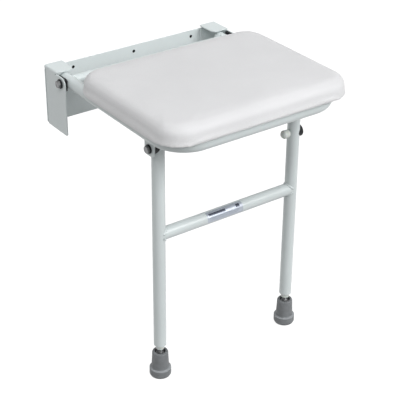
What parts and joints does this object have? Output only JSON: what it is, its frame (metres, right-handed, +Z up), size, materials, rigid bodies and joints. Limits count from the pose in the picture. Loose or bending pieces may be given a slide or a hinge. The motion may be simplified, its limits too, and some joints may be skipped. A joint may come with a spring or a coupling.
{
  "type": "wall-mounted folding shower seat",
  "caption": "Fold-up shower seat: a padded seat on a bent-tube frame, hinged to a wall bracket, with a drop-down leg frame on adjustable rubber feet.",
  "frame": {"origin": "middle of the wall plate's rear face, where the seat meets the wall", "axes": "+X across the seat to its right as seen from in front, +Y into the wall, -Y out into the room, +Z up"},
  "size_m": [0.426, 0.442, 0.5948],
  "materials": {
    "frame_paint": "satin powder coat on mild steel",
    "pad_skin": "fine leather-grained integral skin over moulded foam",
    "board_grey": "matt moulded board",
    "black_nylon": "matt moulded nylon",
    "white_plastic": "semi-gloss moulded plastic",
    "zinc": "bright zinc-plated steel",
    "grey_rubber": "matt moulded rubber",
    "label_foil": "satin self-adhesive foil, blank"
  },
  "bodies": {
    "wall_bracket": {"wall_plate": "frame_paint", "left_end_cap": "frame_paint", "right_end_cap": "frame_paint", "left_pivot_spacer": "black_nylon", "right_pivot_spacer": "black_nylon", "left_pivot_washer": "black_nylon", "right_pivot_washer": "black_nylon"},
    "seat": {"seat_tube": "frame_paint", "rear_cross_rail": "frame_paint", "left_rail_insert": "zinc", "right_rail_insert": "zinc", "left_pivot_bolt": "zinc", "right_pivot_bolt": "zinc", "left_tube_end_plug": "white_plastic", "right_tube_end_plug": "white_plastic", "left_leg_lug": "frame_paint", "right_leg_lug": "frame_paint", "rear_pad_strap": "frame_paint", "front_pad_strap": "frame_paint", "seat_board": "board_grey", "seat_pad": "pad_skin", "pad_screw_1": "zinc", "pad_screw_2": "zinc", "pad_screw_3": "zinc", "pad_screw_4": "zinc"},
    "leg_frame": {"crossbar": "frame_paint", "crossbar_label": "label_foil", "left_leg_tube": "frame_paint", "right_leg_tube": "frame_paint", "left_leg_saddle": "black_nylon", "right_leg_saddle": "black_nylon", "left_leg_top_plug": "black_nylon", "right_leg_top_plug": "black_nylon", "left_leg_end_insert": "white_plastic", "right_leg_end_insert": "white_plastic", "left_hinge_washer": "black_nylon", "right_hinge_washer": "black_nylon", "left_hinge_bolt": "zinc", "right_hinge_bolt": "zinc", "left_hinge_nut": "zinc", "right_hinge_nut": "zinc", "plunger_bush": "black_nylon", "plunger_spring": "zinc"},
    "plunger": {"plunger_pin": "zinc", "plunger_knob": "white_plastic"},
    "left_foot": {"left_ferrule": "grey_rubber", "left_foot_core": "black_nylon", "left_foot_stem": "zinc", "left_foot_locknut": "zinc"},
    "right_foot": {"right_ferrule": "grey_rubber", "right_foot_core": "black_nylon", "right_foot_stem": "zinc", "right_foot_locknut": "zinc"}
  },
  "joints": [
    {"name": "seat_fold", "type": "hinge", "parent": "wall_bracket", "child": "seat", "pos_m": [0, -0.062, 0.04725], "axis": [-1, 0, 0], "range_deg": [0, 90]},
    {"name": "leg_fold", "type": "hinge", "parent": "seat", "child": "leg_frame", "pos_m": [0, -0.3265, 0.01125], "axis": [-1, 0, 0], "range_deg": [-90, 0]},
    {"name": "knob_pull", "type": "slide", "parent": "leg_frame", "child": "plunger", "axis": [-1, 0, 0], "range_m": [0, 0.006], "stiffness_N_per_m": 800, "springref_m": -0.006, "deforming": ["plunger_spring"]},
    {"name": "left_foot_adjust", "type": "slide", "parent": "leg_frame", "child": "left_foot", "axis": [0, 0, -1], "range_m": [-0.006, 0.02]},
    {"name": "right_foot_adjust", "type": "slide", "parent": "leg_frame", "child": "right_foot", "axis": [0, 0, -1], "range_m": [-0.006, 0.02]}
  ],
  "couplings": [
    {"joint": "leg_fold", "follows": "seat_fold", "ratio": -1}
  ]
}
